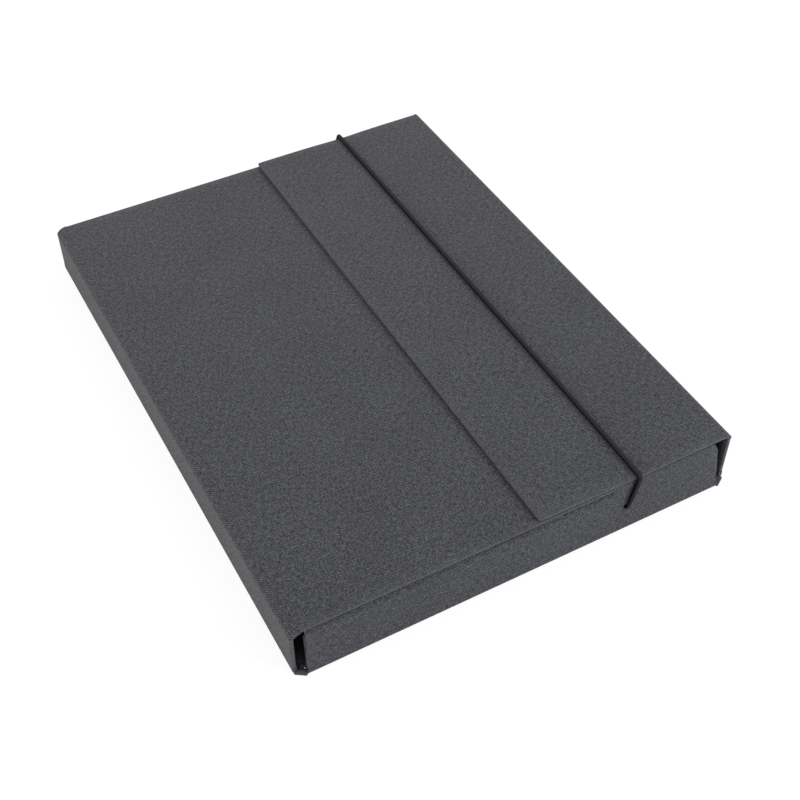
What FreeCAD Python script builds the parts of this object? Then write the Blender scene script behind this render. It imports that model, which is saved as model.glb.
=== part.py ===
import FreeCAD, Part
import math
import os
import Sketcher

# Document folder: nine cloth-covered boards joined by cloth folds, held shut by a round elastic cord.
# Frame: X across the folder (spines at both ends), Y along the folds, Z up from the table.
# Every panel is drawn flat, with its outer face at z = 0 and its inner face up, and then set in place.

doc = FreeCAD.newDocument("document_folder")
sheet = doc.addObject("Spreadsheet::Sheet", "Sizes")

SIZES = {
    "case_width": 251.0,
    "case_length": 330.0,
    "cover_height": 31.2,
    "wall_foot": 4.4,
    "cover_reach": 177.5,
    "flap_reach": 117.4,
    "tuck_depth": 50.0,
    "board_thick": 1.5,
    "cloth_thick": 0.35,
    "paper_thick": 0.2,
    "wide_turn_in": 15.0,
    "narrow_turn_in": 6.0,
    "lining_margin": 2.5,
    "lap_gap": 0.3,
    "left_end_gap": 5.3,
    "right_end_gap": 5.8,
    "step_gap": 1.5,
    "bevel_wide": 2.1,
    "bevel_high": 5.0,
    "foot_fold": 4.5,
    "foot_round": 1.5,
    "web_setback": 1.0,
    "crown_fold": 3.5,
    "tuck_fold": 3.0,
    "cover_fold_wide": 6.2,
    "cover_fold_high": 4.3,
    "cover_fold_round": 7.0,
    "fold_thick": 0.6,
    "cord_wide": 2.6,
    "cord_gap": 0.3,
    "cord_lift": 0.6,
    "cord_bend": 2.6,
    "cord_lane": 64.5,
    "hole_lane": 60.0,
    "hole_height": 15.9,
    "hole_wide": 4.0,
    "knot_wide": 6.4,
}

for row, (alias, size) in enumerate(SIZES.items(), start=1):
    sheet.set(f"A{row}", alias)
    sheet.set(f"B{row}", str(size))
    sheet.setAlias(f"B{row}", alias)
doc.recompute()


def sized(expression):
    """Write an expression's size names as cells of the sheet."""
    words = sorted(SIZES, key=len, reverse=True)
    for word in words:
        expression = expression.replace(word, f"<{words.index(word)}>")
    for number, word in enumerate(words):
        expression = expression.replace(f"<{number}>", f"Sizes.{word}")
    return expression


def value(expression):
    return float(sheet.evalExpression(sized(expression)))


# Sizes that several pieces share
WRAP = "(board_thick + 2 * cloth_thick)"
PANEL = "(board_thick + 2 * cloth_thick + paper_thick)"
HALF_WIDE = "(case_width / 2)"
HALF_LONG = "(case_length / 2)"
FLAP_HEIGHT = f"(cover_height + lap_gap + {PANEL})"
TUCK_HEIGHT = f"(cover_height - {PANEL} - lap_gap)"
WALL_REACH = f"({HALF_LONG} + wall_foot)"
LEAN = "atan(wall_foot / cover_height)"
SLANT = f"cos({LEAN})"
WALL_LEFT = f"(-{HALF_WIDE} + {PANEL} + left_end_gap)"
WALL_RIGHT = f"({HALF_WIDE} - {PANEL} - right_end_gap)"
STEP = f"(-{HALF_WIDE} + cover_reach + step_gap)"


def finish(shape, label, yaw="0", roll="0", reach="0", height="0"):
    """Name a sub-part and set it in place: rolled up from flat, moved out and turned to its side."""
    shape.Label = label
    spot = f"create(<<vector>>; -sin({yaw}) * {reach}; cos({yaw}) * {reach}; {height})"
    turn = f"create(<<rotation>>; {yaw}; 0; {roll})"
    shape.setExpression("Placement", f"create(<<placement>>; {sized(spot)}; {sized(turn)})")
    return shape


def outline(name, corners, arcs=None):
    """Sketch a closed outline: corners are pairs of expressions, arcs map a side to its radius."""
    arcs = arcs or {}
    sketch = doc.addObject("Sketcher::SketchObject", name)
    spots = [FreeCAD.Vector(value(x), value(y), 0) for x, y in corners]
    count = len(spots)
    for side in range(count):
        start = spots[side]
        end = spots[(side + 1) % count]
        if side in arcs:
            radius = value(arcs[side])
            chord = end - start
            out = FreeCAD.Vector(chord.y, -chord.x, 0).normalize()
            rise = abs(radius) - math.sqrt(radius ** 2 - (chord.Length / 2) ** 2)
            middle = (start + end) / 2 + out * math.copysign(rise, radius)
            sketch.addGeometry(Part.Arc(start, middle, end))
        else:
            sketch.addGeometry(Part.LineSegment(start, end))
    # An arc keeps its own sense of turning, so its ends are told apart by place
    ends = []
    for side in range(count):
        first = sketch.getPoint(side, 1)
        ends.append((1, 2) if first.distanceToPoint(spots[side]) < 1e-6 else (2, 1))
    for side in range(count):
        following = (side + 1) % count
        sketch.addConstraint(Sketcher.Constraint(
            "Coincident", side, ends[side][1], following, ends[following][0]))
    for side, (x, y) in enumerate(corners):
        for kind, expression, size in (("DistanceX", x, spots[side].x), ("DistanceY", y, spots[side].y)):
            number = sketch.addConstraint(Sketcher.Constraint(kind, -1, 1, side, ends[side][0], size))
            sketch.setExpression(f"Constraints[{number}]", sized(expression))
    for side, radius in arcs.items():
        number = sketch.addConstraint(Sketcher.Constraint("Radius", side, abs(value(radius))))
        sketch.setExpression(f"Constraints[{number}]", sized(f"abs({radius})"))
    return sketch


def layer(name, sketch, inset, low, thick):
    """Extrude a sketch, drawn in by an inset, from one level up by a thickness."""
    base = sketch
    if inset:
        base = doc.addObject("Part::Offset2D", f"{name}_edge")
        base.Source = sketch
        base.setExpression("Value", sized(f"-({inset})"))
    slab = doc.addObject("Part::Extrusion", name)
    slab.Base = base
    slab.DirMode = "Custom"
    slab.Dir = FreeCAD.Vector(0, 0, 1)
    slab.Solid = True
    slab.setExpression("LengthFwd", sized(f"{low} + {thick}"))
    slab.setExpression("LengthRev", sized(f"-({low})"))
    return slab


def join(name, shapes):
    fused = doc.addObject("Part::MultiFuse", name)
    fused.Shapes = shapes
    return fused


def cut(name, base, tool):
    left = doc.addObject("Part::Cut", name)
    left.Base = base
    left.Tool = tool
    return left


def bored(name, base, hole):
    """Bore the cord's hole through one layer of an end wall."""
    if hole is None:
        return base
    drill = doc.addObject("Part::Cylinder", f"{name}_drill")
    drill.setExpression("Radius", sized("hole_wide / 2"))
    drill.setExpression("Height", sized("hole_height"))
    spot = f"create(<<vector>>; {hole[0]}; {hole[1]}; -hole_height / 2)"
    drill.setExpression("Placement", sized(f"create(<<placement>>; {spot}; create(<<rotation>>; 0; 0; 0))"))
    return cut(f"{name}_bored", base, drill)


def panel(name, corners, turn_in, place, hole=None, webs=None):
    """Board, outer cloth turned in over its edges, and lining let down between the turn-ins."""
    sketch = outline(f"{name}_outline", corners)
    board = layer(f"{name}_inner", sketch, "cloth_thick", "cloth_thick", "board_thick")
    core = layer(f"{name}_core", sketch, "cloth_thick", "cloth_thick", "board_thick")
    window = layer(f"{name}_window", sketch, turn_in, "cloth_thick + board_thick", "cloth_thick")
    blank = layer(f"{name}_blank", sketch, None, "0", WRAP)
    cloth = cut(f"{name}_wrap", blank, join(f"{name}_inside", [core, window]))
    if webs:
        cloth = join(f"{name}_webbed", [cloth] + webs)
    paper = layer(f"{name}_paper", sketch, "lining_margin", WRAP, "paper_thick")
    lining = join(f"{name}_liner", [window, paper])
    return [
        finish(bored(f"{name}_board_part", board, hole), f"{name}_board", **place),
        finish(bored(f"{name}_cloth_part", cloth, hole), f"{name}_cloth", **place),
        finish(bored(f"{name}_lining_part", lining, hole), f"{name}_lining", **place),
    ]


def fold(name, corners, arcs, ends, place):
    """Cloth strip round one fold: a bent band, drawn in section and extruded along the fold."""
    section = outline(f"{name}_section", corners, arcs)
    spot = f"create(<<vector>>; {ends[0]}; 0; 0)"
    turn = "create(<<rotation>>; 90; 0; 90)"
    section.setExpression("Placement", sized(f"create(<<placement>>; {spot}; {turn})"))
    strip = doc.addObject("Part::Extrusion", f"{name}_strip")
    strip.Base = section
    strip.DirMode = "Custom"
    strip.Dir = FreeCAD.Vector(1, 0, 0)
    strip.Solid = True
    strip.setExpression("LengthFwd", sized(f"{ends[1]} - {ends[0]}"))
    return finish(strip, name, **place)


def foot_fold(name, lean, ends, place):
    """Fold between the base and a wall: flat on the table, a close bend, and on up the wall's face."""
    bend = f"(foot_round * tan(45 deg + {lean} / 2))"
    outside = [(f"-{far} * sin({lean})", f"{far} * cos({lean})") for far in (bend, "foot_fold")]
    inside = [(f"{x} - fold_thick * cos({lean})", f"{y} - fold_thick * sin({lean})") for x, y in outside]
    corners = [
        ("-foot_fold", "0"), (f"-{bend}", "0"), *outside, *reversed(inside),
        (f"-{bend}", "fold_thick"), ("-foot_fold", "fold_thick"),
    ]
    return fold(name, corners, {1: "foot_round", 5: "-(foot_round - fold_thick)"}, ends, place)


def top_fold(name, lean, wide, high, radius, ends, place):
    """Fold between a wall and the panel that lies over the papers."""
    corners = [
        (f"{high} * sin({lean})", f"-{high} * cos({lean})"),
        (f"-{wide}", "0"),
        (f"-{wide}", "-fold_thick"),
        (f"{high} * sin({lean}) - fold_thick * cos({lean})",
         f"-{high} * cos({lean}) - fold_thick * sin({lean})"),
    ]
    return fold(name, corners, {0: radius, 2: f"-({radius} - fold_thick)"}, ends, place)


def base():
    wide = f"({HALF_WIDE} - foot_fold)"
    long = f"({WALL_REACH} - foot_fold)"
    corners = [(f"-{wide}", f"-{long}"), (wide, f"-{long}"), (wide, long), (f"-{wide}", long)]
    webs = []
    for side, end in (("right", WALL_RIGHT), ("left", f"(-{WALL_LEFT})")):
        for name, turn in (("front", "-1"), ("back", "1")):
            across = "1" if side == "right" else "-1"
            spots = [
                (end, long), (wide, long), (wide, HALF_LONG), (f"({HALF_WIDE} - web_setback)", HALF_LONG),
                (f"({HALF_WIDE} - web_setback)", f"({HALF_LONG} + web_setback)"),
                (end, f"({WALL_REACH} - web_setback)"),
            ]
            web = [(f"{across} * {x}", f"{turn} * {y}") for x, y in spots]
            webs.append(layer(f"{name}_{side}_web", outline(f"{name}_{side}_web_outline", web),
                              None, "0", "fold_thick"))
    return panel("base", corners, "wide_turn_in", {}, webs=webs)


def strip_corners(low, high):
    """A panel as long as the case, between two distances from its fold's corner."""
    return [(f"-{HALF_LONG}", low), (HALF_LONG, low), (HALF_LONG, high), (f"-{HALF_LONG}", high)]


def left_side():
    """Left spine and the wide cover that it carries."""
    ends = (f"-{HALF_LONG}", HALF_LONG)
    foot = {"yaw": "90", "reach": HALF_WIDE}
    crown = {"yaw": "90", "reach": HALF_WIDE, "height": "cover_height"}
    spine = strip_corners("foot_fold", "cover_height - cover_fold_high")
    cover = strip_corners("cover_fold_wide", "cover_reach")
    return [
        foot_fold("left_foot_fold", "0 deg", ends, foot),
        *panel("left_spine", spine, "narrow_turn_in", dict(foot, roll="90")),
        top_fold("left_top_fold", "0 deg", "cover_fold_wide", "cover_fold_high", "cover_fold_round",
                 ends, crown),
        *panel("cover", cover, "wide_turn_in", dict(crown, roll="180")),
    ]


def right_side():
    """Right spine and the overlap flap that comes back over the cover."""
    ends = (f"-{HALF_LONG}", HALF_LONG)
    foot = {"yaw": "-90", "reach": HALF_WIDE}
    crown = {"yaw": "-90", "reach": HALF_WIDE, "height": FLAP_HEIGHT}
    spine = strip_corners("foot_fold", f"{FLAP_HEIGHT} - crown_fold")
    flap = strip_corners("crown_fold", "flap_reach")
    return [
        foot_fold("right_foot_fold", "0 deg", ends, foot),
        *panel("right_spine", spine, "narrow_turn_in", dict(foot, roll="90")),
        top_fold("right_top_fold", "0 deg", "crown_fold", "crown_fold", "crown_fold", ends, crown),
        *panel("flap", flap, "wide_turn_in", dict(crown, roll="180")),
    ]


def end_side(name, yaw, across):
    """End wall with its tuck flap: across is 1 where the wall's own X runs with the case's."""
    foot = {"yaw": yaw, "reach": WALL_REACH}
    crown = {"yaw": yaw, "reach": f"({WALL_REACH} - {TUCK_HEIGHT} * tan({LEAN}))",
             "height": TUCK_HEIGHT}
    low_top = f"({TUCK_HEIGHT} / {SLANT} - tuck_fold)"
    high_top = f"((cover_height - lap_gap) / {SLANT})"
    free_edge = f"({STEP} - step_gap)"
    taper = "(tuck_depth - tuck_fold)"
    wall = [
        (WALL_LEFT, "foot_fold"), (WALL_RIGHT, "foot_fold"), (WALL_RIGHT, f"{high_top} - bevel_high"),
        (f"{WALL_RIGHT} - bevel_wide", high_top), (STEP, high_top), (STEP, low_top), (WALL_LEFT, low_top),
    ]
    tuck = [
        (WALL_LEFT, "tuck_fold"), (free_edge, "tuck_fold"),
        (f"{free_edge} - {taper}", "tuck_depth"), (f"{WALL_LEFT} + {taper}", "tuck_depth"),
    ]
    wall = [(f"{across} * ({x})", y) for x, y in wall]
    tuck = [(f"{across} * ({x})", y) for x, y in tuck]
    hole = (f"{across} * hole_lane", f"hole_height / {SLANT}")
    foot_ends = (WALL_LEFT, WALL_RIGHT)
    top_ends = (WALL_LEFT, free_edge)
    if across == "-1":
        foot_ends = (f"(-{WALL_RIGHT})", f"(-{WALL_LEFT})")
        top_ends = (f"(-{free_edge})", f"(-{WALL_LEFT})")
    return [
        foot_fold(f"{name}_foot_fold", LEAN, foot_ends, foot),
        *panel(f"{name}_wall", wall, "narrow_turn_in", dict(foot, roll=f"90 deg + {LEAN}"), hole=hole),
        top_fold(f"{name}_top_fold", LEAN, "tuck_fold", "tuck_fold",
                 f"(tuck_fold * tan(45 deg + {LEAN} / 2))", top_ends, crown),
        *panel(f"{name}_tuck", tuck, "narrow_turn_in", dict(crown, roll="180")),
    ]


def knot(name, end):
    """Knot that stops the cord inside an end wall, seated in the mouth of its hole."""
    ball = doc.addObject("Part::Sphere", f"{name}_ball")
    ball.setExpression("Radius", sized("knot_wide / 2"))
    depth = f"({PANEL} + sqrt(knot_wide ^ 2 - hole_wide ^ 2) / 2 + cord_gap)"
    out = f"({WALL_REACH} - hole_height * tan({LEAN}) - {depth} * cos({LEAN}))"
    spot = f"create(<<vector>>; hole_lane; {end} * {out}; hole_height - {depth} * sin({LEAN}))"
    ball.setExpression("Placement", sized(f"create(<<placement>>; {spot}; create(<<rotation>>; 0; 0; 0))"))
    ball.Label = name
    return ball


def rounded_path(points, radius):
    """Straight runs through the points, joined by tangent arcs."""
    edges = []
    start = points[0]
    for before, corner, after in zip(points, points[1:], points[2:]):
        inward = (before - corner).normalize()
        onward = (after - corner).normalize()
        half = inward.getAngle(onward) / 2
        reach = radius / math.tan(half)
        middle = corner + (inward + onward).normalize() * (radius / math.sin(half) - radius)
        first = corner + inward * reach
        last = corner + onward * reach
        edges.append(Part.LineSegment(start, first).toShape())
        edges.append(Part.Arc(first, middle, last).toShape())
        print("cord bend: radius %.1f mm, turn %.0f degrees" % (radius, 180 - math.degrees(2 * half)))
        start = last
    edges.append(Part.LineSegment(start, points[-1]).toShape())
    return Part.Wire(edges)


def elastic_cord():
    """One round cord from hole to hole: up the front wall, over the flap and down the back wall."""
    round_half = value("cord_wide / 2")
    stand_off = round_half + value("cord_gap")
    lean = math.radians(value(LEAN))
    hole_out = value(f"{WALL_REACH} - hole_height * tan({LEAN})")
    inside = value(f"{PANEL} + sqrt(knot_wide ^ 2 - hole_wide ^ 2) / 2 - knot_wide / 2")
    lanes = []
    for depth in (inside, -stand_off):
        out = hole_out - depth * math.cos(lean)
        lanes.append((value("hole_lane"), out, value("hole_height") - depth * math.sin(lean)))
    edge_out = value(f"{HALF_LONG} + cord_lift") + stand_off
    lanes.append((value("cord_lane"), edge_out, value(FLAP_HEIGHT) + stand_off))
    points = [FreeCAD.Vector(x, -y, z) for x, y, z in lanes]
    points += [FreeCAD.Vector(x, y, z) for x, y, z in reversed(lanes)]
    path = rounded_path(points, value("cord_bend"))
    ring = Part.Circle(points[0], points[1] - points[0], round_half)
    cord = doc.addObject("Part::Feature", "elastic_cord_tube")
    cord.Shape = path.makePipeShell([Part.Wire(ring.toShape())], True, False)
    cord.Label = "elastic_cord"
    plain = math.pi * round_half ** 2 * path.Length
    print("cord: length %.1f mm, volume %.1f against %.1f mm3" % (path.Length, cord.Shape.Volume, plain))
    return cord


parts = [
    *base(),
    *left_side(),
    *right_side(),
    *end_side("front", "180", "-1"),
    *end_side("back", "0", "1"),
    knot("front_knot", "-1"),
    knot("back_knot", "1"),
    elastic_cord(),
]
doc.recompute()

for item in doc.Objects:
    if "Invalid" in item.State or "Error" in item.State:
        raise RuntimeError(f"{item.Name} failed: {item.State}")
for part in parts:
    if part.Shape.isNull() or not part.Shape.isValid() or len(part.Shape.Solids) != 1:
        raise RuntimeError(f"{part.Label} is not one valid solid")

os.makedirs("parts", exist_ok=True)
for part in parts:
    part.Shape.exportStep(f"parts/{part.Label}.step")
print("%d sub-parts" % len(parts))
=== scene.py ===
import math

import bpy
import numpy as np
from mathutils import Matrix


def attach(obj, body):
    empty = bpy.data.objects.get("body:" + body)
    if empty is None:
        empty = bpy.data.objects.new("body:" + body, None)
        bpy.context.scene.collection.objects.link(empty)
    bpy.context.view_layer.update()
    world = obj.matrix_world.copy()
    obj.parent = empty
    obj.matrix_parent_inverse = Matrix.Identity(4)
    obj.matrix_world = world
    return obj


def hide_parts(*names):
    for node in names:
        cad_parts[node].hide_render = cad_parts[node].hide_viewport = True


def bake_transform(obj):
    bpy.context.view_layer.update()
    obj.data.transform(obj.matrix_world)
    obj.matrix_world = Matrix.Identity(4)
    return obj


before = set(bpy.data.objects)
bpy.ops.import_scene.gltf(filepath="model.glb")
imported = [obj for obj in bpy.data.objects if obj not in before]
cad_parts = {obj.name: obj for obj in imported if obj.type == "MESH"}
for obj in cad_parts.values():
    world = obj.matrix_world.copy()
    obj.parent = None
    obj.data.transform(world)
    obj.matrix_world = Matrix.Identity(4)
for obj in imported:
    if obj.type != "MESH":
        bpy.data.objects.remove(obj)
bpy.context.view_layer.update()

# Camera and studio.
# The camera looks down on the folder from its front left corner, as in a catalogue picture.
# It stands on a plain pale floor under an even pale sky, with soft lamps left, front right and behind.

LENS_MM = 57.7
CAMERA_AT = (-0.2357, -0.4714, 0.5193)
LOOK_DOWN = 46.18
LOOK_RIGHT = 28.62

lens = bpy.data.cameras.new("camera")
lens.lens = LENS_MM
lens.sensor_width = 36.0
lens.clip_start = 0.01
camera = bpy.data.objects.new("camera", lens)
camera.location = CAMERA_AT
camera.rotation_euler = (math.radians(90 - LOOK_DOWN), 0, -math.radians(LOOK_RIGHT))
bpy.context.scene.collection.objects.link(camera)
bpy.context.scene.camera = camera
bpy.context.scene.view_settings.view_transform = "Standard"


def soft_lamp(name, place, wide, power, tint=(1, 1, 1)):
    """A square soft box at a place, turned to face the middle of the folder."""
    lamp = bpy.data.lights.new(name, "AREA")
    lamp.shape = "SQUARE"
    lamp.size = wide
    lamp.energy = power
    lamp.color = tint
    box = bpy.data.objects.new(name, lamp)
    box.location = place
    level = math.hypot(place[0], place[1])
    box.rotation_euler = (math.atan2(level, place[2]), 0, math.atan2(place[0], -place[1]))
    bpy.context.scene.collection.objects.link(box)


soft_lamp("left_lamp", (-1.3, 0.1, 0.5), 0.8, 5.6, (1.0, 0.96, 0.86))
soft_lamp("front_lamp", (1.0, -1.2, 1.0), 0.8, 12.0)
soft_lamp("back_lamp", (0.2, 1.3, 1.1), 1.0, 3.0)

world = bpy.data.worlds.new("studio")
bpy.context.scene.world = world
world.use_nodes = True
air = world.node_tree.nodes["Background"]
air.inputs["Color"].default_value = (1, 1, 1, 1)
air.inputs["Strength"].default_value = 0.57

FLOOR_HALF = 6.0
floor_mesh = bpy.data.meshes.new("floor")
floor_mesh.from_pydata([(-FLOOR_HALF, -FLOOR_HALF, 0), (FLOOR_HALF, -FLOOR_HALF, 0),
                        (FLOOR_HALF, FLOOR_HALF, 0), (-FLOOR_HALF, FLOOR_HALF, 0)], [], [(0, 1, 2, 3)])
floor = bpy.data.objects.new("floor", floor_mesh)
bpy.context.scene.collection.objects.link(floor)
floor_paint = bpy.data.materials.new("pale_floor")
floor_paint.use_nodes = True
floor_tree = floor_paint.node_tree
floor_shader = floor_tree.nodes["Principled BSDF"]
floor_shader.inputs["Base Color"].default_value = (0.85, 0.85, 0.85, 1)
floor_shader.inputs["Roughness"].default_value = 0.9
# Seen straight by the camera the floor glows up to white, and so keeps only a pale shadow.
seen = floor_tree.nodes.new("ShaderNodeLightPath")
glow = floor_tree.nodes.new("ShaderNodeEmission")
glow.inputs["Color"].default_value = (1, 1, 1, 1)
glow.inputs["Strength"].default_value = 0.87
matt = floor_tree.nodes.new("ShaderNodeBsdfDiffuse")
matt.inputs["Color"].default_value = (0.2, 0.2, 0.2, 1)
both = floor_tree.nodes.new("ShaderNodeAddShader")
choice = floor_tree.nodes.new("ShaderNodeMixShader")
floor_tree.links.new(glow.outputs[0], both.inputs[0])
floor_tree.links.new(matt.outputs[0], both.inputs[1])
floor_tree.links.new(seen.outputs["Is Camera Ray"], choice.inputs[0])
floor_tree.links.new(floor_shader.outputs[0], choice.inputs[1])
floor_tree.links.new(both.outputs[0], choice.inputs[2])
floor_tree.links.new(choice.outputs[0], floor_tree.nodes["Material Output"].inputs["Surface"])
floor_mesh.materials.append(floor_paint)

# Book cloth.
# A dark grey linen-like cloth, woven of uneven threads and pasted tightly over the boards.
# Its pattern follows the flat sheet that the folder was cut from, laid out in metres.


def add(tree, kind, settings=None, **values):
    """Add a node with its own settings, and the starting values of its inputs."""
    made = tree.nodes.new(kind)
    for key, value in (settings or {}).items():
        setattr(made, key, value)
    for key, value in values.items():
        made.inputs[key.replace("_", " ")].default_value = value
    return made


def blend_colours(tree, dark, light, share):
    """Mix two plain colours by a share that changes over the surface."""
    mixed = add(tree, "ShaderNodeMix", {"data_type": "RGBA"})
    mixed.inputs[6].default_value = (*dark, 1)
    mixed.inputs[7].default_value = (*light, 1)
    tree.links.new(share, mixed.inputs[0])
    return mixed.outputs[2]


def calculate(tree, operation, first, second=None):
    """One step of arithmetic on values that change over the surface, or on such a value and a number."""
    step = add(tree, "ShaderNodeMath", {"operation": operation})
    for place, value in enumerate((first, second)):
        if isinstance(value, (int, float)):
            step.inputs[place].default_value = value
        elif value is not None:
            tree.links.new(value, step.inputs[place])
    return step.outputs[0]


def weave_group():
    """Plain weave: each thread's crown |sin| across it, times (1 +- cos along it) / 2 for over and under."""
    group = bpy.data.node_groups.new("woven_cloth", "ShaderNodeTree")
    group.interface.new_socket(name="Place", in_out="INPUT", socket_type="NodeSocketVector")
    group.interface.new_socket(name="Threads", in_out="INPUT", socket_type="NodeSocketFloat")
    group.interface.new_socket(name="Height", in_out="OUTPUT", socket_type="NodeSocketFloat")
    group.interface.new_socket(name="Yarn", in_out="OUTPUT", socket_type="NodeSocketFloat")
    group.interface.new_socket(name="Cloud", in_out="OUTPUT", socket_type="NodeSocketFloat")
    start = group.nodes.new("NodeGroupInput")
    end = group.nodes.new("NodeGroupOutput")
    counted = add(group, "ShaderNodeVectorMath", {"operation": "SCALE"})
    group.links.new(start.outputs["Place"], counted.inputs[0])
    group.links.new(start.outputs["Threads"], counted.inputs["Scale"])
    drift = add(group, "ShaderNodeTexNoise", Scale=0.35, Detail=2.0)
    group.links.new(counted.outputs[0], drift.inputs["Vector"])
    centred = add(group, "ShaderNodeVectorMath", {"operation": "SUBTRACT"})
    centred.inputs[1].default_value = (0.5, 0.5, 0.5)
    group.links.new(drift.outputs["Color"], centred.inputs[0])
    shifted = add(group, "ShaderNodeVectorMath", {"operation": "MULTIPLY_ADD"})
    shifted.inputs[1].default_value = (1.6, 1.6, 0)
    group.links.new(centred.outputs[0], shifted.inputs[0])
    group.links.new(counted.outputs[0], shifted.inputs[2])
    split = add(group, "ShaderNodeSeparateXYZ")
    group.links.new(shifted.outputs[0], split.inputs[0])
    heights, yarns = [], []
    for across, along, over in ((0, 1, 1), (1, 0, -1)):
        half_turn = calculate(group, "MULTIPLY", split.outputs[across], math.pi)
        crown = calculate(group, "ABSOLUTE", calculate(group, "SINE", half_turn))
        number = calculate(group, "FLOOR", split.outputs[across])
        odd = calculate(group, "MULTIPLY", calculate(group, "ADD", split.outputs[along], number), math.pi)
        rise = calculate(group, "MULTIPLY", calculate(group, "COSINE", odd), over * 0.5)
        lift = calculate(group, "ADD", rise, 0.5)
        heights.append(calculate(group, "MULTIPLY", calculate(group, "POWER", crown, 0.6), lift))
        laid = add(group, "ShaderNodeVectorMath", {"operation": "MULTIPLY"})
        laid.inputs[1].default_value = (1.0, 0.3, 1.0) if across == 0 else (0.3, 1.0, 1.0)
        group.links.new(shifted.outputs[0], laid.inputs[0])
        yarn = add(group, "ShaderNodeTexNoise", Scale=0.9, Detail=2.0, Roughness=0.7)
        group.links.new(laid.outputs[0], yarn.inputs["Vector"])
        yarns.append(yarn.outputs["Fac"])
    upper = calculate(group, "GREATER_THAN", heights[0], heights[1])
    yarn = add(group, "ShaderNodeMix", {"data_type": "FLOAT"})
    group.links.new(upper, yarn.inputs[0])
    group.links.new(yarns[1], yarn.inputs[2])
    group.links.new(yarns[0], yarn.inputs[3])
    group.links.new(calculate(group, "MAXIMUM", heights[0], heights[1]), end.inputs["Height"])
    group.links.new(yarn.outputs[0], end.inputs["Yarn"])
    cloud = add(group, "ShaderNodeTexNoise", Scale=22.0, Detail=4.0)
    group.links.new(start.outputs["Place"], cloud.inputs["Vector"])
    group.links.new(cloud.outputs["Fac"], end.inputs["Cloud"])
    return group


def cloth_material(name, dark, light, painted_light_and_wear, threads, relief_depth):
    """Matte cloth: yarn tone varies at random, crowns pale and grooves dark as painted shade between the threads,
    and a pale tone laid on by a share per point, painted highlight with some wear at edges and painted light on the
    corner webs.
    """
    made = bpy.data.materials.new(name)
    made.use_nodes = True
    tree = made.node_tree
    shader = tree.nodes["Principled BSDF"]
    shader.inputs["Roughness"].default_value = 0.85
    shader.inputs["Specular IOR Level"].default_value = 0.2
    shader.inputs["Sheen Weight"].default_value = 0.2
    shader.inputs["Sheen Roughness"].default_value = 0.5
    place = add(tree, "ShaderNodeUVMap", {"uv_map": "cloth"})
    weave = add(tree, "ShaderNodeGroup", {"node_tree": WEAVE}, Threads=threads)
    tree.links.new(place.outputs["UV"], weave.inputs["Place"])
    # Tone follows the weave's height, so the dark grooves between threads are painted shade; the yarn noise is the
    # threads' own uneven tone.
    crowns = add(tree, "ShaderNodeMapRange", From_Min=0.2, From_Max=1.0, To_Min=0.25, To_Max=1.0)
    tree.links.new(weave.outputs["Height"], crowns.inputs["Value"])
    yarn = add(tree, "ShaderNodeMapRange", From_Min=0.38, From_Max=0.66)
    tree.links.new(weave.outputs["Yarn"], yarn.inputs["Value"])
    tone = calculate(tree, "MULTIPLY", crowns.outputs["Result"], yarn.outputs["Result"])
    threads_colour = blend_colours(tree, dark, light, tone)
    edge = add(tree, "ShaderNodeAttribute", {"attribute_name": "painted_light_and_wear"})
    lightened = add(tree, "ShaderNodeMix", {"data_type": "RGBA"})
    tree.links.new(edge.outputs["Fac"], lightened.inputs[0])
    tree.links.new(threads_colour, lightened.inputs[6])
    lightened.inputs[7].default_value = (*painted_light_and_wear, 1)
    shade = add(tree, "ShaderNodeMapRange", From_Min=0.3, From_Max=0.7, To_Min=0.93, To_Max=1.07)
    tree.links.new(weave.outputs["Cloud"], shade.inputs["Value"])
    clouded = add(tree, "ShaderNodeVectorMath", {"operation": "SCALE"})
    tree.links.new(lightened.outputs[2], clouded.inputs[0])
    tree.links.new(shade.outputs["Result"], clouded.inputs["Scale"])
    tree.links.new(clouded.outputs[0], shader.inputs["Base Color"])
    relief = add(tree, "ShaderNodeBump", Strength=0.6, Distance=relief_depth)
    tree.links.new(weave.outputs["Height"], relief.inputs["Height"])
    tree.links.new(relief.outputs["Normal"], shader.inputs["Normal"])
    return made


WEAVE = weave_group()
# The third colour is the pale tone: painted highlight on rounded edges and fold crowns, partly wear, and painted
# light on the corner webs.
BOOK_CLOTH = cloth_material("book_cloth", (0.0230, 0.0238, 0.0285), (0.192, 0.197, 0.224),
                            (0.12, 0.122, 0.135), 1300.0, 0.0002)

# Boards and lining.
# Greyboard is pressed from mixed waste paper, so it is flecked and its cut edges show layers.
# The lining is a smooth charcoal paper, pasted over the boards inside between the turned-in cloth.


def pressed_material(name, dark, light, grain, stretch, roughness):
    """Pressed paper: fine noise in object coordinates, stretched flat, with a few darker fibres."""
    made = bpy.data.materials.new(name)
    made.use_nodes = True
    tree = made.node_tree
    shader = tree.nodes["Principled BSDF"]
    shader.inputs["Roughness"].default_value = roughness
    shader.inputs["Specular IOR Level"].default_value = 0.3
    place = add(tree, "ShaderNodeTexCoord")
    laid = add(tree, "ShaderNodeMapping", Scale=(1, 1, stretch))
    tree.links.new(place.outputs["Object"], laid.inputs["Vector"])
    noise = add(tree, "ShaderNodeTexNoise", Scale=grain, Detail=4.0, Roughness=0.65)
    tree.links.new(laid.outputs["Vector"], noise.inputs["Vector"])
    tone = add(tree, "ShaderNodeMapRange", From_Min=0.35, From_Max=0.65)
    tree.links.new(noise.outputs["Fac"], tone.inputs["Value"])
    tree.links.new(blend_colours(tree, dark, light, tone.outputs["Result"]), shader.inputs["Base Color"])
    relief = add(tree, "ShaderNodeBump", Strength=0.25, Distance=0.0001)
    tree.links.new(noise.outputs["Fac"], relief.inputs["Height"])
    tree.links.new(relief.outputs["Normal"], shader.inputs["Normal"])
    return made


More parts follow.
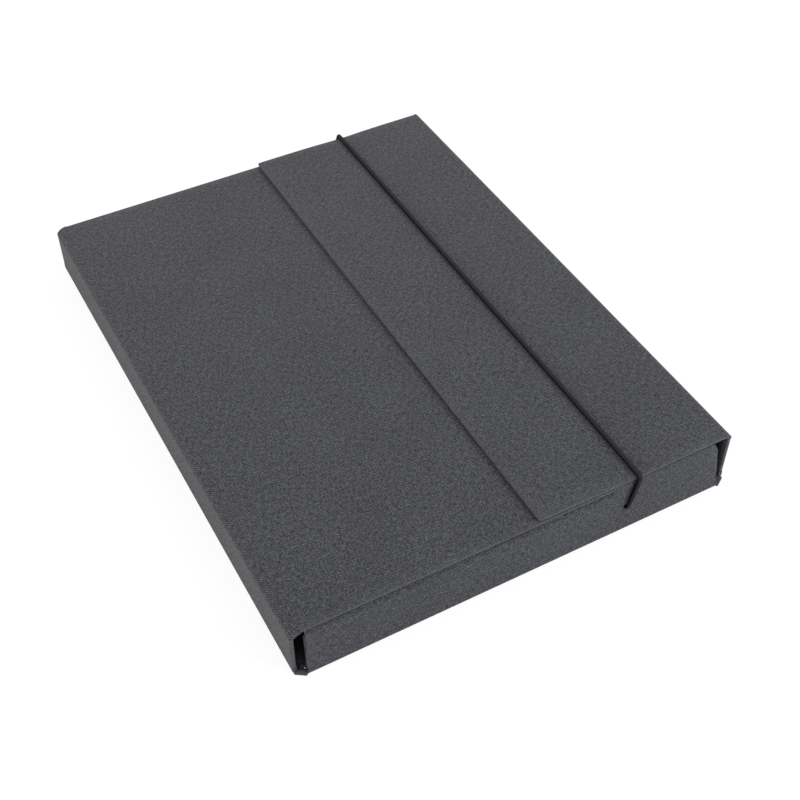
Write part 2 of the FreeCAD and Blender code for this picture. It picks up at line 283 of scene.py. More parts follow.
GREYBOARD = pressed_material("greyboard", (0.22, 0.21, 0.19), (0.38, 0.37, 0.34), 900.0, 3.0, 0.9)
LINING = pressed_material("lining_paper", (0.050, 0.050, 0.055), (0.070, 0.070, 0.077), 1600.0, 1.0, 0.7)
for name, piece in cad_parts.items():
    for ending, finish in (("_board", GREYBOARD), ("_lining", LINING)):
        if name.endswith(ending):
            for place in piece.material_slots:
                place.material = finish

# Base.
# The base is a sheet of greyboard with book cloth drawn round its four edges and pasted down inside.

CLOTH = 0.00033
WRAP = 0.0022
EDGE_ROUND = 0.0007
CORNER_ROUND = 0.0012
BASE_WIDE, BASE_LONG = 0.121, 0.1649
WIDE_TURN_IN = 0.015


def lines(low, high, step, marks=()):
    """Grid lines from low to high: even steps and given marks, with close lines at both rounded edges."""
    near = EDGE_ROUND * np.array([0.0, 0.06, 0.22, 0.5, 1.0])
    inside = np.concatenate([np.linspace(low, high, max(3, round((high - low) / step))), marks])
    inside = inside[(inside > low + 1.6 * EDGE_ROUND) & (inside < high - 1.6 * EDGE_ROUND)]
    return np.unique(np.round(np.concatenate([low + near, inside, high - near]), 7))


def edge_distance(u, v, edges):
    """Distance from each place to the nearest of the straight edges that the cloth goes round."""
    nearest = np.full(u.shape, 1.0)
    for (ua, va), (ub, vb) in edges:
        du, dv = ub - ua, vb - va
        share = np.clip(((u - ua) * du + (v - va) * dv) / (du * du + dv * dv), 0, 1)
        nearest = np.minimum(nearest, np.hypot(u - ua - share * du, v - va - share * dv))
    return nearest


def round_corner(u, v, corner, radius=CORNER_ROUND):
    """Round a square corner in plan: square rings about the arc's centre become circles of their size."""
    cu, cv, su, sv = corner
    p, q = radius - (u - cu) * su, radius - (v - cv) * sv
    ring = np.maximum(p, q) / np.maximum(np.hypot(p, q), 1e-9)
    ring = np.where((p > 0) & (q > 0), ring, 1.0)
    return cu + su * (radius - p * ring), cv + sv * (radius - q * ring)


def unevenness(u, v, seed):
    """Slow waves of the pasted cloth, between -1 and 1: four sines of long pitch in drawn directions."""
    draw = np.random.default_rng(seed)
    total = np.zeros(u.shape)
    for _ in range(4):
        angle, phase = draw.uniform(0, 2 * math.pi, 2)
        pitch = draw.uniform(0.05, 0.16)
        total += np.sin(2 * math.pi * (u * math.cos(angle) + v * math.sin(angle)) / pitch + phase)
    return total / 4


def quads(rows, across, first=0):
    """Faces of a grid of places that are numbered row by row."""
    start = first + (np.arange(rows - 1)[:, None] * across + np.arange(across - 1)).ravel()
    return np.stack([start, start + 1, start + across + 1, start + across], axis=1)


def rim(rows, across):
    """Faces that join the borders of two equal grids, the second numbered after the first."""
    border = np.concatenate([
        np.arange(across), np.arange(1, rows) * across + across - 1,
        (rows - 1) * across + np.arange(across - 2, -1, -1), np.arange(rows - 2, 0, -1) * across])
    after = np.roll(border, -1)
    second = rows * across
    return np.stack([border, border + second, after + second, after], axis=1)


def outward(places, faces):
    """Turn all faces over if the solid that they bound would have a negative volume."""
    points = places - places.mean(axis=0)
    a, b, c, d = (points[faces[:, k]] for k in range(4))
    six_times = (np.cross(a, b) * c).sum() + (np.cross(a, c) * d).sum()
    return faces if six_times > 0 else faces[:, ::-1]


def solid_sheet(name, outer, inner, flat, deep, painted_light_and_wear, material, outer_cut=None, inner_cut=None):
    """Two grids joined at their borders, less any cut faces, with the weave laid out along the surface."""
    rows, across = outer.shape[:2]
    places = np.concatenate([outer.reshape(-1, 3), inner.reshape(-1, 3)])
    back = quads(rows, across, rows * across)[:, ::-1]
    faces = outward(places, np.concatenate([quads(rows, across), back, rim(rows, across)]))
    keep = np.ones(len(faces), dtype=bool)
    if outer_cut is not None:
        keep[:len(back)] = ~outer_cut.ravel()
    if inner_cut is not None:
        keep[len(back):2 * len(back)] = ~inner_cut.ravel()
    mesh = bpy.data.meshes.new(name)
    mesh.from_pydata(places.tolist(), [], faces[keep].tolist())
    uv = np.concatenate([flat.reshape(-1, 2), flat.reshape(-1, 2) + deep])
    corners = np.empty(len(mesh.loops), dtype=np.int32)
    mesh.loops.foreach_get("vertex_index", corners)
    mesh.uv_layers.new(name="cloth").data.foreach_set("uv", uv[corners].astype(np.float32).ravel())
    # The share of the pale tone at each place, painted light and some wear, is kept as a point attribute.
    lightened = mesh.attributes.new("painted_light_and_wear", "FLOAT", "POINT")
    lightened.data.foreach_set("value", np.concatenate([painted_light_and_wear.ravel(), painted_light_and_wear.ravel()]).astype(np.float32))
    mesh.polygons.foreach_set("use_smooth", np.ones(len(mesh.polygons), dtype=bool))
    mesh.set_sharp_from_angle(angle=math.radians(42))
    mesh.materials.append(material)
    piece = bpy.data.objects.new(name, mesh)
    bpy.context.scene.collection.objects.link(piece)
    return piece


def covered_board(node, body, u, v, place, flat, ring, folds, turn_in, corners=(), press=0.0, hole=None,
                  thinned=1.0, rise=0.0):
    """Cloth round a board: it drops by r - sqrt(r^2 - (r - d)^2) at a distance d from a free edge."""
    sides = list(zip(ring, ring[1:] + ring[:1]))
    distance = edge_distance(u, v, [side for number, side in enumerate(sides) if number not in folds])
    border = edge_distance(u, v, sides)
    near = np.minimum(distance, EDGE_ROUND)
    drop = EDGE_ROUND - np.sqrt(EDGE_ROUND ** 2 - (EDGE_ROUND - near) ** 2)
    waves = WAVE_HIGH * (1 + unevenness(u, v, len(node))) * np.minimum(border / 0.02, 1)
    rounded = (u, v)
    for corner in corners:
        rounded = round_corner(*rounded, corner)
    outer_cut = None
    if hole is not None:
        rounded, lip, outer_cut = punched(*rounded, hole)
        press = press + lip
    outer = place(*rounded, drop + waves + press)
    inner = place(*rounded, WRAP - np.maximum(thinned * drop, rise) + press)
    window = (border[1:, 1:] + border[:-1, :-1] + border[1:, :-1] + border[:-1, 1:]) / 4 > turn_in
    # Paler within a rounded edge's width of each free edge: painted highlight on the rounded edge, partly wear.
    painted_light_and_wear = np.exp(-distance / EDGE_HIGHLIGHT_WIDE) * EDGE_HIGHLIGHT_MOST
    piece = solid_sheet(f"{node}_wrap", outer, inner, flat(u, v), WRAP, painted_light_and_wear, BOOK_CLOTH, outer_cut, window)
    wall = piece.modifiers.new("cloth_thickness", "SOLIDIFY")
    wall.thickness = CLOTH
    wall.offset = -1
    wall.use_even_offset = True
    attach(piece, body)
    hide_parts(node)
    return piece


# Width and strength of the painted highlight on free edges, partly wear.
WAVE_HIGH = 0.00005
EDGE_HIGHLIGHT_WIDE = 0.0008
EDGE_HIGHLIGHT_MOST = 0.4


def rectangle(u_low, u_high, v_low, v_high):
    """Corners of a rectangle, so that its first side is the lower one along the fold."""
    return [(u_low, v_low), (u_high, v_low), (u_high, v_high), (u_low, v_high)]


def ruled(u_low, u_high, v_low, v_high, turn_in, step=0.006):
    """A grid over a rectangle, with lines where the turned-in cloth ends."""
    return np.meshgrid(lines(u_low, u_high, step, (u_low + turn_in, u_high - turn_in)),
                       lines(v_low, v_high, step, (v_low + turn_in, v_high - turn_in)))


def on_base(u, v, w):
    return np.stack([u, v, w + np.zeros(u.shape)], axis=-1)


u, v = ruled(-BASE_WIDE, BASE_WIDE, -BASE_LONG, BASE_LONG, WIDE_TURN_IN)
covered_board("base_cloth", "case", u, v, on_base, lambda u, v: np.stack([u, v], axis=-1),
              rectangle(-BASE_WIDE, BASE_WIDE, -BASE_LONG, BASE_LONG), (0, 1, 2, 3), WIDE_TURN_IN)

# Folds beside the base.
# Between two boards the cloth is pasted to a thin strip alone, so that it bends there like a hinge.
# The four folds round the base turn up from the table into the two spines and the two end walls.

FOLD_THICK = 0.0006
HEM_WIDE = 0.002
FOOT_HEM = 0.0018
HEM_STEPS = np.array([0.0, 0.0005, 0.001, 0.002, 0.003, 0.005])
FOOT_FOLD, FOOT_ROUND = 0.0045, 0.0015
HALF_WIDE, HALF_LONG = 0.1255, 0.165
WALL_REACH, WALL_LEFT, WALL_RIGHT = 0.1694, -0.1178, 0.1173
LEAN = math.atan2(0.0044, 0.0312)
FOOT_FLARE = 0.0012


def at_side(side, along, out, up):
    """Places from their distance along a side, outward from the middle, and up."""
    along, out, up = np.broadcast_arrays(along, out, up)
    return np.stack({"left": (-out, along, up), "right": (out, along, up),
                     "front": (along, -out, up), "back": (along, out, up)}[side], axis=-1)


def on_sheet(side, along, girth):
    """Places on the flat sheet from which the case was cut: girth is measured over the folds."""
    along, girth = np.broadcast_arrays(along, girth)
    return np.stack({"left": (-girth, along), "right": (girth, along),
                     "front": (along, -girth), "back": (along, girth)}[side], axis=-1)


def turning_line(start, end, headings):
    """A line in section whose heading turns as given, with its steps summed and fitted to both ends."""
    headings = np.array(headings)
    middle = (headings[1:] + headings[:-1]) / 2
    steps = np.stack([np.cos(middle), np.sin(middle)], axis=1)
    run = np.concatenate([[[0, 0]], np.cumsum(steps, axis=0)])
    return np.array(start) + run * (np.array(end) - start) / run[-1]


def fold_strip(node, side, ends, start, end, headings, girth, painted_light_and_wear=0.0, ridge=0.0, hem=np.zeros_like,
               snug=0.0):
    """Cloth round a fold: a line in section, offset inwards by a thickness that grows into a hem at both ends."""
    line = turning_line(start, end, headings)
    inward = np.stack([-np.sin(headings), np.cos(headings)], axis=1)
    length = np.concatenate([[0], np.cumsum(np.linalg.norm(np.diff(line, axis=0), axis=1))])
    share = length / length[-1]
    line = line + inward * (ridge * np.sin(math.pi * share) ** 2)[:, None]
    along = np.concatenate([ends[0] + HEM_STEPS, np.linspace(*ends, 60)[2:-2], ends[1] - HEM_STEPS[::-1]])
    near_end = np.exp(-np.minimum(along - ends[0], ends[1] - along) / HEM_WIDE)
    thick = FOLD_THICK + hem(share)[:, None] * near_end
    over = line[:, None] - inward[:, None] * (snug * np.sin(math.pi * share)[:, None] * near_end ** 0.4)[..., None]
    under = line[:, None] + inward[:, None] * thick[..., None]
    outer = at_side(side, along, over[..., 0], over[..., 1])
    inner = at_side(side, along, under[..., 0], under[..., 1])
    flat = on_sheet(side, along, girth + length[:, None])
    # Paler over the middle of the fold's section: painted highlight on the fold's rounded crown, partly wear.
    lightened = np.broadcast_to(painted_light_and_wear * np.sin(math.pi * share)[:, None] ** 2, flat.shape[:2])
    piece = solid_sheet(f"{node}_strip", outer, inner, flat, FOLD_THICK, lightened, BOOK_CLOTH)
    middle = sum(ends) / 2
    places = (at_side(side, middle, *start), at_side(side, middle, *end))
    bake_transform(piece)
    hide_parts(node)
    return girth + length[-1]


QUARTER = math.pi / 2


def close_bend(turn):
    """Headings of a foot fold: flat, then an even turn over a short arc, then straight on again."""
    flat = FOOT_FOLD - FOOT_ROUND * math.tan(turn / 2)
    arc = FOOT_ROUND * turn
    return turn * np.clip((np.linspace(0, 2 * flat + arc, 31) - flat) / arc, 0, 1)


SPINE_ENDS = (-HALF_LONG, HALF_LONG)
WALL_ENDS = (WALL_LEFT - FOOT_FLARE, WALL_RIGHT + FOOT_FLARE)
wall_start = (WALL_REACH - FOOT_FOLD * math.sin(LEAN), FOOT_FOLD * math.cos(LEAN))
girths = {}
for side, body in (("left", "left_spine"), ("right", "right_spine")):
    girths[side] = fold_strip(
        f"{side}_foot_fold", side, SPINE_ENDS, (BASE_WIDE, 0), (HALF_WIDE, FOOT_FOLD),
        close_bend(QUARTER), BASE_WIDE, hem=lambda share: FOOT_HEM * np.clip(4 * share - 2, 0, 1))
for side, body in (("front", "front_wall"), ("back", "back_wall")):
    girths[side] = fold_strip(
        f"{side}_foot_fold", side, WALL_ENDS, (BASE_LONG, 0), wall_start,
        close_bend(QUARTER + LEAN), BASE_LONG)

# Corner webs.
# At each corner of the base a narrow web of the same cloth runs from the spine's fold to the wall's.
# It is stretched straight between the two folds, flat on the table, and its edge is rolled over.

WEB_THICK = 0.00035
WEB_ROUND = 0.00055
WEB_OUT = 0.0009


def web_section(line, headings):
    """A fold's line in section, as far as its turn, with the same line drawn in by the web's thickness."""
    inward = np.stack([-np.sin(headings), np.cos(headings)], axis=1)
    return line[:WEB_LINES], (line + inward * WEB_THICK)[:WEB_LINES]


WEB_LINES = 20
spine_part = web_section(turning_line((BASE_WIDE, 0), (HALF_WIDE, FOOT_FOLD), close_bend(QUARTER)),
                         close_bend(QUARTER))
wall_part = web_section(turning_line((BASE_LONG, 0), wall_start, close_bend(QUARTER + LEAN)),
                        close_bend(QUARTER + LEAN))
# The rolled edge in section: flat, half round, and back again over itself
roll = np.concatenate([np.zeros(7), np.linspace(0, math.pi, 9), np.full(4, math.pi)])
roll_steps = np.where((roll[1:] + roll[:-1]) % math.pi == 0, 0.0005, WEB_ROUND * math.pi / 8)
roll_middle = (roll[1:] + roll[:-1]) / 2
roll_line = np.concatenate([[[0, 0]], np.cumsum(
    np.stack([np.cos(roll_middle), np.sin(roll_middle)], axis=1) * roll_steps[:, None], axis=0)])
roll_line[:, 0] += WEB_OUT - roll_line[:, 0].max()
roll_part = roll_line, roll_line + WEB_THICK * np.stack([-np.sin(roll), np.cos(roll)], axis=1)
share = np.linspace(0, 1, 13)[:, None]
rolled = 1 - (2 * share - 1) ** 12
for across, side, end in ((-1, "left", WALL_ENDS[0]), (1, "right", WALL_ENDS[1])):
    for turn, name in ((-1, "front"), (1, "back")):
        sheets = []
        for at_spine, at_wall, at_middle in zip(spine_part, wall_part, roll_part):
            straight = np.stack([across * at_spine[:, 0] * (1 - share) + end * share,
                                 turn * (HALF_LONG * (1 - share) + at_wall[:, 0] * share),
                                 at_spine[:, 1] * (1 - share) + at_wall[:, 1] * share], axis=-1)
            spine_corner = np.array([across * HALF_WIDE, turn * HALF_LONG, 0])
            wall_corner = np.array([end, turn * WALL_REACH, 0])
            way = wall_corner - spine_corner
            out = np.array([way[1], -way[0], 0]) * across * turn / math.hypot(way[0], way[1])
            edge = spine_corner * (1 - share[..., None]) + wall_corner * share[..., None]
            curl = edge + out * at_middle[:, :1] + np.array([0, 0, 1]) * at_middle[:, 1:]
            sheets.append(straight + (curl - straight) * rolled[..., None])
        # Each web gets a 0.3 share of the pale tone all over: painted light, lifting a web that lies in shade
        # between spine and wall.
        web = solid_sheet(f"{name}_{side}_corner_web", *sheets, sheets[0][..., :2] + sheets[0][..., 2:],
                          WEB_THICK, np.full(sheets[0].shape[:2], 0.3), BOOK_CLOTH)
        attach(web, "case")
        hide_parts("base_cloth")

# Left spine and cover.
# The spine is a narrow board that stands on the base's left edge, and the cover hangs from its top.
# The cover is a wide board, and its fold slopes up from the spine to the cover's edge.

NARROW_TURN_IN = 0.006
COVER_TOP = 0.0312
COVER_REACH = 0.1775
COVER_FOLD_WIDE, COVER_FOLD_HIGH = 0.0062, 0.0043


def spine_panel(side, top, girth, thinned):
    """Upright board between a foot fold and a top fold: its outer face is the case's side."""
    u, v = ruled(-HALF_LONG, HALF_LONG, FOOT_FOLD, top, NARROW_TURN_IN)
    covered_board(
        f"{side}_spine_cloth", f"{side}_spine", u, v, lambda u, v, w: at_side(side, u, HALF_WIDE - w, v),
        lambda u, v: on_sheet(side, u, girth + v - FOOT_FOLD),
        rectangle(-HALF_LONG, HALF_LONG, FOOT_FOLD, top), (0, 2), NARROW_TURN_IN, thinned=thinned)
    return girth + top - FOOT_FOLD


def no_change(u, v):
    return 0 * u


def lid_panel(node, side, low, high, top, girth, press=no_change, rise=no_change):
    """Level board over the papers: v runs from its fold towards its long free edge."""
    u, v = ruled(-HALF_LONG, HALF_LONG, low, high, WIDE_TURN_IN)
    corners = ((-HALF_LONG, high, 1, -1), (HALF_LONG, high, -1, -1)) if node == "flap" else ()
    covered_board(
        f"{node}_cloth", node, u, v, lambda u, v, w: at_side(side, u, HALF_WIDE - v, top - w),
        lambda u, v: on_sheet(side, u, girth + v - low), rectangle(-HALF_LONG, HALF_LONG, low, high),
        (0,), WIDE_TURN_IN, corners, press(u, v), rise=rise(u, v))


girth = spine_panel("left", COVER_TOP - COVER_FOLD_HIGH, girths["left"], 1.0)
crease = np.radians(90 + np.array([0, 8, 16, 22.7]))
girth = fold_strip(
    "left_top_fold", "left", SPINE_ENDS,
    (HALF_WIDE, COVER_TOP - COVER_FOLD_HIGH), (HALF_WIDE - COVER_FOLD_WIDE, COVER_TOP),
    np.concatenate([crease, np.linspace(crease[-1], math.pi, 14)[1:]]), girth, 0.0, 0.00015,
    lambda share: 0.002 + 0 * share)
lid_panel("cover", "left", COVER_FOLD_WIDE, COVER_REACH, COVER_TOP, girth)

# Right spine and overlap flap.
# The right spine is taller by the cover's thickness, because the flap comes back over the cover.
# The taut elastic cord presses the flap's board down a little at both of its ends.

FLAP_TOP = 0.0339
FLAP_REACH = 0.1174
CROWN_FOLD = 0.0035
CORD_LANE = 0.0665
CORD_PRESS = 0.0006
EDGE_RISE = 0.0009
RISE_WIDE = 0.006


def cord_press(u, v):
    """Depth of the dent: a bell across the cord's lane that fades away from both ends of the flap."""
    across = np.exp(-((v - (HALF_WIDE - CORD_LANE)) / 0.016) ** 2)
    return CORD_PRESS * across * np.exp(-(HALF_LONG - abs(u)) / 0.018)


def edge_rise(u, v):
    """Height by which the flap's underside slopes up to its thin free edge, clear of the cover."""
    return EDGE_RISE * np.clip(1 - (FLAP_REACH - v) / RISE_WIDE, 0, 1)


girth = spine_panel("right", FLAP_TOP - CROWN_FOLD, girths["right"], 2.0)
# The right top fold's crown gets a 0.2 share of the pale tone, painted highlight with some wear.
girth = fold_strip(
    "right_top_fold", "right", SPINE_ENDS,
    (HALF_WIDE, FLAP_TOP - CROWN_FOLD), (HALF_WIDE - CROWN_FOLD, FLAP_TOP),
    np.linspace(QUARTER, math.pi, 13), girth, 0.2, hem=lambda share: 0.0016 + 0 * share)
lid_panel("flap", "right", CROWN_FOLD, FLAP_REACH, FLAP_TOP, girth, cord_press, edge_rise)


def pressed_layer(node, inset, low, high, finish):
    """A layer of the flap between two depths, drawn in from the outline and dented with it."""
    u, v = np.meshgrid(np.linspace(-HALF_LONG + inset, HALF_LONG - inset, 90),
                       np.linspace(CROWN_FOLD + inset, FLAP_REACH - inset, 40))
    sheets = [at_side("right", u, HALF_WIDE - v, FLAP_TOP - w - cord_press(u, v) + edge_rise(u, v))
              for w in (low, high)]
    piece = solid_sheet(f"{node}_sheet", *sheets, np.stack([u, v], axis=-1), high - low,
                        np.zeros(u.shape), finish)
    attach(piece, "flap")
    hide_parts(node)


pressed_layer("flap_board", RISE_WIDE, 0.0004, 0.0018, GREYBOARD)
pressed_layer("flap_lining", 0.0025, WRAP - 0.0001, 0.0024, LINING)

# End walls and tucks.
# Each end wall leans inwards a little, with a tuck flap folded over the papers from its top edge.
# Past the cover's edge the wall is taller, up to the flap, and there the cord comes out of a hole.

TUCK_HEIGHT = 0.0285
TUCK_FOLD = 0.003
TUCK_DEPTH = 0.05
STEP_X = 0.0521
TUCK_RIGHT = 0.052
HIGH_TOP = (COVER_TOP - 0.0003) / math.cos(LEAN)
LOW_TOP = TUCK_HEIGHT / math.cos(LEAN) - TUCK_FOLD
BEVEL_WIDE, BEVEL_HIGH = 0.0021, 0.005
HOLE_X, HOLE_Z, HOLE_ROUND = 0.06, 0.0155, 0.0015
HOLE_BLOCK = 0.0036


def punched(u, v, hole):
    """Round hole: square rings about its middle become circles near it, and are left square further out."""
    du, dv = u - hole[0], v - hole[1]
    ring = np.maximum(abs(du), abs(dv))
    far = np.clip((ring - HOLE_ROUND) / (HOLE_BLOCK - HOLE_ROUND), 0, 1)
    scale = far + (1 - far) * ring / np.maximum(np.hypot(du, dv), 1e-9)
    lip = 0.0003 * np.exp(-np.maximum(ring - HOLE_ROUND, 0) / 0.0006)
    cut = (ring[1:, 1:] + ring[:-1, :-1] + ring[1:, :-1] + ring[:-1, 1:]) / 4 < HOLE_ROUND
    return (hole[0] + du * scale, hole[1] + dv * scale), lip, cut


def wall_place(side):
    return lambda u, v, w: at_side(side, u, WALL_REACH - v * math.sin(LEAN) - w * math.cos(LEAN),
                                   v * math.cos(LEAN) - w * math.sin(LEAN))


hole = (HOLE_X, HOLE_Z / math.cos(LEAN))
hole_lines = HOLE_BLOCK / 12 * np.arange(-12, 13)
tuck_corner = WALL_REACH - TUCK_HEIGHT * math.tan(LEAN)
for side in ("front", "back"):
    columns = lines(WALL_LEFT, WALL_RIGHT, 0.006, np.concatenate([
        hole[0] + hole_lines, [STEP_X - 0.00005, STEP_X + 0.00005, WALL_RIGHT - BEVEL_WIDE]]))
    columns = columns[(abs(columns - HOLE_X) >= HOLE_BLOCK - 1e-6)
                      | (np.min(abs(columns[:, None] - HOLE_X - hole_lines), axis=1) < 1e-6)]
    rows = lines(FOOT_FOLD, HIGH_TOP, 0.002, hole[1] + hole_lines)
    rows = rows[(abs(rows - hole[1]) >= HOLE_BLOCK - 1e-6)
                | (np.min(abs(rows[:, None] - hole[1] - hole_lines), axis=1) < 1e-6)]
    top = np.where(columns < STEP_X, LOW_TOP, HIGH_TOP)
    top = top - BEVEL_HIGH * np.clip((columns - WALL_RIGHT) / BEVEL_WIDE + 1, 0, 1)
    u = np.broadcast_to(columns, (len(rows), len(columns)))
    v = FOOT_FOLD + (rows[:, None] - FOOT_FOLD) * (top - FOOT_FOLD) / (HIGH_TOP - FOOT_FOLD)
    u = u + np.sign(u) * FOOT_FLARE * np.clip(abs(u) / 0.0175 - 5.7, 0, 1) * (HIGH_TOP - v) / (HIGH_TOP - FOOT_FOLD)
    outline = [(WALL_ENDS[0], FOOT_FOLD), (WALL_ENDS[1], FOOT_FOLD), (WALL_RIGHT, HIGH_TOP - BEVEL_HIGH),
               (WALL_RIGHT - BEVEL_WIDE, HIGH_TOP), (STEP_X, HIGH_TOP), (STEP_X, LOW_TOP),
               (WALL_LEFT, LOW_TOP)]
    start = girths[side]
    covered_board(f"{side}_wall_cloth", f"{side}_wall", u, v, wall_place(side),
                  lambda u, v: on_sheet(side, u, start + v - FOOT_FOLD), outline, (0, 4, 5),
                  NARROW_TURN_IN, hole=hole)
    low_top = (WALL_REACH - LOW_TOP * math.sin(LEAN), LOW_TOP * math.cos(LEAN))
    girth = fold_strip(
        f"{side}_top_fold", side, (WALL_LEFT, TUCK_RIGHT), low_top,
        (tuck_corner - TUCK_FOLD, TUCK_HEIGHT), np.linspace(QUARTER + LEAN, math.pi, 13),
        start + LOW_TOP - FOOT_FOLD, snug=0.0011)
    v, share = np.meshgrid(lines(TUCK_FOLD, TUCK_DEPTH, 0.004, (TUCK_DEPTH - NARROW_TURN_IN,)),
                           lines(0, 1, 0.03))
    near_end = WALL_LEFT + (v - TUCK_FOLD)
    far_end = TUCK_RIGHT - (v - TUCK_FOLD)
    u = near_end + share * (far_end - near_end)
    taper = TUCK_DEPTH - TUCK_FOLD
    outline = [(WALL_LEFT, TUCK_FOLD), (TUCK_RIGHT, TUCK_FOLD), (TUCK_RIGHT - taper, TUCK_DEPTH),
               (WALL_LEFT + taper, TUCK_DEPTH)]
    covered_board(f"{side}_tuck_cloth", f"{side}_tuck", u, v,
                  lambda u, v, w: at_side(side, u, tuck_corner - v, TUCK_HEIGHT - w),
                  lambda u, v: on_sheet(side, u, girth + v - TUCK_FOLD), outline, (0,), NARROW_TURN_IN)

# Elastic cord and its knots.
# A round black elastic, braided over a rubber core, comes out of each end wall and lies over the flap.
# Inside each wall the cord ends in a tight overhand knot, which can't pass through the hole.

CORD_ROUND = 0.0013


def elastic_material():
    """Black braid: two sets of diagonal ribs that cross, with a painted highlight along the cord's crown and
    painted shade, near black, on its sides.
    """
    made = bpy.data.materials.new("black_elastic")
    made.use_nodes = True
    tree = made.node_tree
    shader = tree.nodes["Principled BSDF"]
    shader.inputs["Roughness"].default_value = 0.6
    shader.inputs["Specular IOR Level"].default_value = 0.15
    place = add(tree, "ShaderNodeUVMap", {"uv_map": "cloth"})
    ribs = []
    for turn in (math.radians(32), math.radians(-32)):
        turned = add(tree, "ShaderNodeMapping", Rotation=(0, 0, turn))
        tree.links.new(place.outputs["UV"], turned.inputs["Vector"])
        wave = add(tree, "ShaderNodeTexWave", {"bands_direction": "Y"}, Scale=560.0, Distortion=0.4)
        tree.links.new(turned.outputs["Vector"], wave.inputs["Vector"])
        ribs.append(wave.outputs["Fac"])
    upper = add(tree, "ShaderNodeMath", {"operation": "MAXIMUM"})
    tree.links.new(ribs[0], upper.inputs[0])
    tree.links.new(ribs[1], upper.inputs[1])
    # The crown share from the tube paints the highlight; the ribs are the braid's own pattern.
    crown = add(tree, "ShaderNodeAttribute", {"attribute_name": "painted_light_and_wear"})
    tone = calculate(tree, "MULTIPLY", upper.outputs[0], crown.outputs["Fac"])
    colour = blend_colours(tree, (0.0012, 0.0012, 0.0014), (0.036, 0.036, 0.038), tone)
    tree.links.new(colour, shader.inputs["Base Color"])
    relief = add(tree, "ShaderNodeBump", Strength=0.6, Distance=0.0002)
    tree.links.new(upper.outputs[0], relief.inputs["Height"])
    tree.links.new(relief.outputs["Normal"], shader.inputs["Normal"])
    return made


ELASTIC = elastic_material()


def smooth_line(points):
    """Points along a quadratic NURBS curve through the given control points."""
    guide = bpy.data.curves.new("guide", "CURVE")
    guide.dimensions = "3D"
    guide.resolution_u = 8
    spline = guide.splines.new("NURBS")
    spline.points.add(len(points) - 1)
    spline.points.foreach_set("co", np.column_stack([points, np.ones(len(points))]).ravel())
    spline.order_u = 3
    spline.use_endpoint_u = True
    holder = bpy.data.objects.new("guide", guide)
    bpy.context.scene.collection.objects.link(holder)
    bpy.context.view_layer.update()
    mesh = bpy.data.meshes.new_from_object(holder)
    line = np.empty(len(mesh.vertices) * 3)
    mesh.vertices.foreach_get("co", line)
    bpy.data.objects.remove(holder)
    return line.reshape(-1, 3)


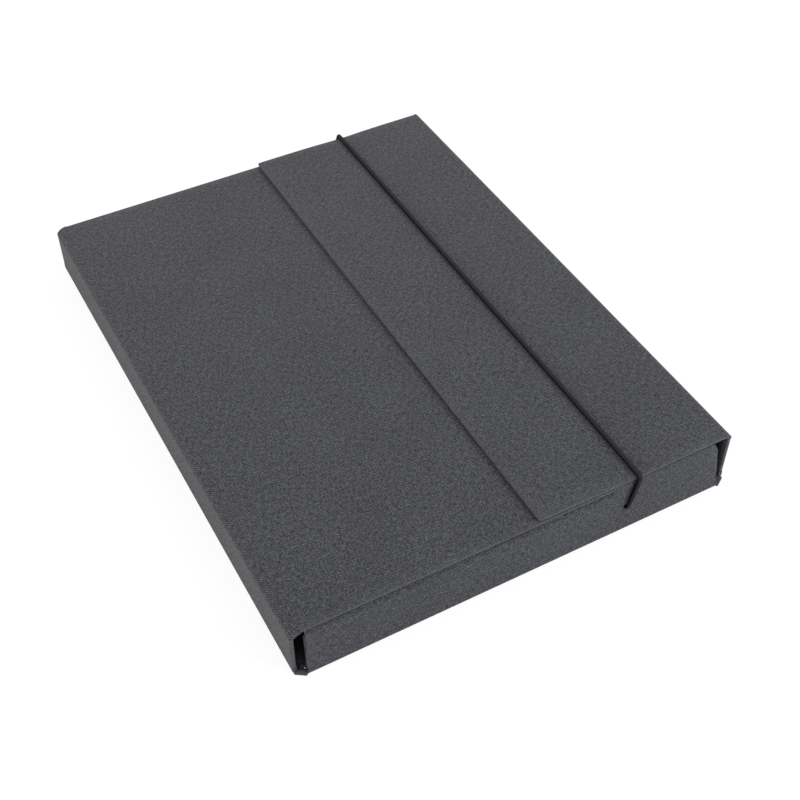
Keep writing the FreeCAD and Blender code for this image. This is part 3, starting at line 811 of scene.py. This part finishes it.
def tube(name, line, radius):
    """Circles of the radius at each place, carried along a line and turned with its direction."""
    ahead = np.gradient(line, axis=0)
    ahead /= np.linalg.norm(ahead, axis=1)[:, None]
    side = np.cross(ahead[0], (0.3, 0.5, 0.8))
    sides = []
    for direction in ahead:
        side = side - direction * (side @ direction)
        side = side / np.linalg.norm(side)
        sides.append(side)
    sides = np.array(sides)
    third = np.cross(ahead, sides)
    around = np.linspace(0, 2 * math.pi, 21)[:-1]
    ring = np.cos(around)[:, None] * sides[:, None] + np.sin(around)[:, None] * third[:, None]
    rings = line[:, None] + radius[:, None, None] * ring
    places = np.concatenate([rings.reshape(-1, 3), line[:1] - ahead[:1] * radius[0] * 0.35,
                             line[-1:] + ahead[-1:] * radius[-1] * 0.35])
    count, total = len(around), len(line)
    ring, step = np.meshgrid(np.arange(total - 1), np.arange(count), indexing="ij")
    here, then = ring * count + step, ring * count + (step + 1) % count
    walls = np.stack([here, then, then + count, here + count], axis=-1).reshape(-1, 4)
    steps = np.arange(count)
    first = np.stack([(steps + 1) % count, steps, np.full(count, total * count)], axis=1)
    final = np.stack([steps, (steps + 1) % count, np.full(count, count + 1)], axis=1) + (total - 1) * count
    mesh = bpy.data.meshes.new(name)
    mesh.from_pydata(places.tolist(), [], walls.tolist() + first.tolist() + final.tolist())
    run = np.concatenate([[0], np.cumsum(np.linalg.norm(np.diff(line, axis=0), axis=1))])
    girth_step = 2 * math.pi * radius.max() / count
    uv = np.zeros((len(mesh.loops), 2))
    wall_uv = np.stack([np.stack([step, step + 1, step + 1, step], axis=-1) * girth_step,
                        np.stack([run[ring], run[ring], run[ring + 1], run[ring + 1]], axis=-1)], axis=-1)
    uv[:wall_uv.size // 2] = wall_uv.reshape(-1, 2)
    mesh.uv_layers.new(name="cloth").data.foreach_set("uv", uv.astype(np.float32).ravel())
    # Painted highlight: the share of each ring facing up along the top run and outward along the legs, with the
    # sides left at zero as painted shade.
    away = line * (0, 1, 1) - (0, 0, 0.02)
    away = away - ahead * (away * ahead).sum(axis=1)[:, None]
    away /= np.linalg.norm(away, axis=1)[:, None]
    crown = np.clip(((rings - line[:, None]) * away[:, None]).sum(axis=2) / radius[:, None] * 1.4 - 0.2, 0, 1)
    lightened = mesh.attributes.new("painted_light_and_wear", "FLOAT", "POINT")
    lightened.data.foreach_set("value", np.concatenate([crown.ravel(), [0, 0]]).astype(np.float32))
    mesh.polygons.foreach_set("use_smooth", np.ones(len(mesh.polygons), dtype=bool))
    mesh.materials.append(ELASTIC)
    piece = bpy.data.objects.new(name, mesh)
    bpy.context.scene.collection.objects.link(piece)
    return piece


front_run = [
    (0.0600, -0.1622, 0.0152), (0.0600, -0.1654, 0.0154), (0.0600, -0.1670, 0.0155),
    (0.0600, -0.1680, 0.0159), (0.0603, -0.1682, 0.0170), (0.0611, -0.1681, 0.0188),
    (0.0631, -0.1675, 0.0240), (0.0651, -0.1669, 0.0290), (0.0661, -0.1665, 0.0318),
    (0.0665, -0.1664, 0.0330), (0.0665, -0.1662, 0.0342), (0.0665, -0.1652, 0.03466),
    (0.0665, -0.1635, 0.0347), (0.0665, -0.1600, 0.0348), (0.0665, -0.1500, 0.0350),
    (0.0665, -0.1350, 0.0351), (0.0665, -0.1050, 0.0352), (0.0665, -0.0650, 0.0352),
]
cord_line = smooth_line(np.array(front_run + [(x, -y, z) for x, y, z in reversed(front_run)]))
# The stretched cord is drawn thin where it goes into its hole
thin = np.clip((0.023 - cord_line[:, 2]) / 0.007, 0, 1)
cord = tube("elastic_cord_braid", cord_line, CORD_ROUND * (1 - 0.3 * thin * thin * (3 - 2 * thin)))
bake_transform(cord)
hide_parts("elastic_cord")

KNOT_AT = (0.06, 0.1622, 0.0152)
turns = np.linspace(0, 2 * math.pi, 120)
loop = 0.00072 * np.stack([np.sin(turns) + 2 * np.sin(2 * turns), 1.5 * -np.sin(3 * turns),
                           np.cos(turns) - 2 * np.cos(2 * turns)], axis=1)
for end, side in ((-1, "front"), (1, "back")):
    knot = tube(f"{side}_knot_tied", (loop + KNOT_AT) * (1, end, 1), np.full(len(loop), CORD_ROUND))
    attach(knot, f"{side}_wall")
    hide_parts(f"{side}_knot")
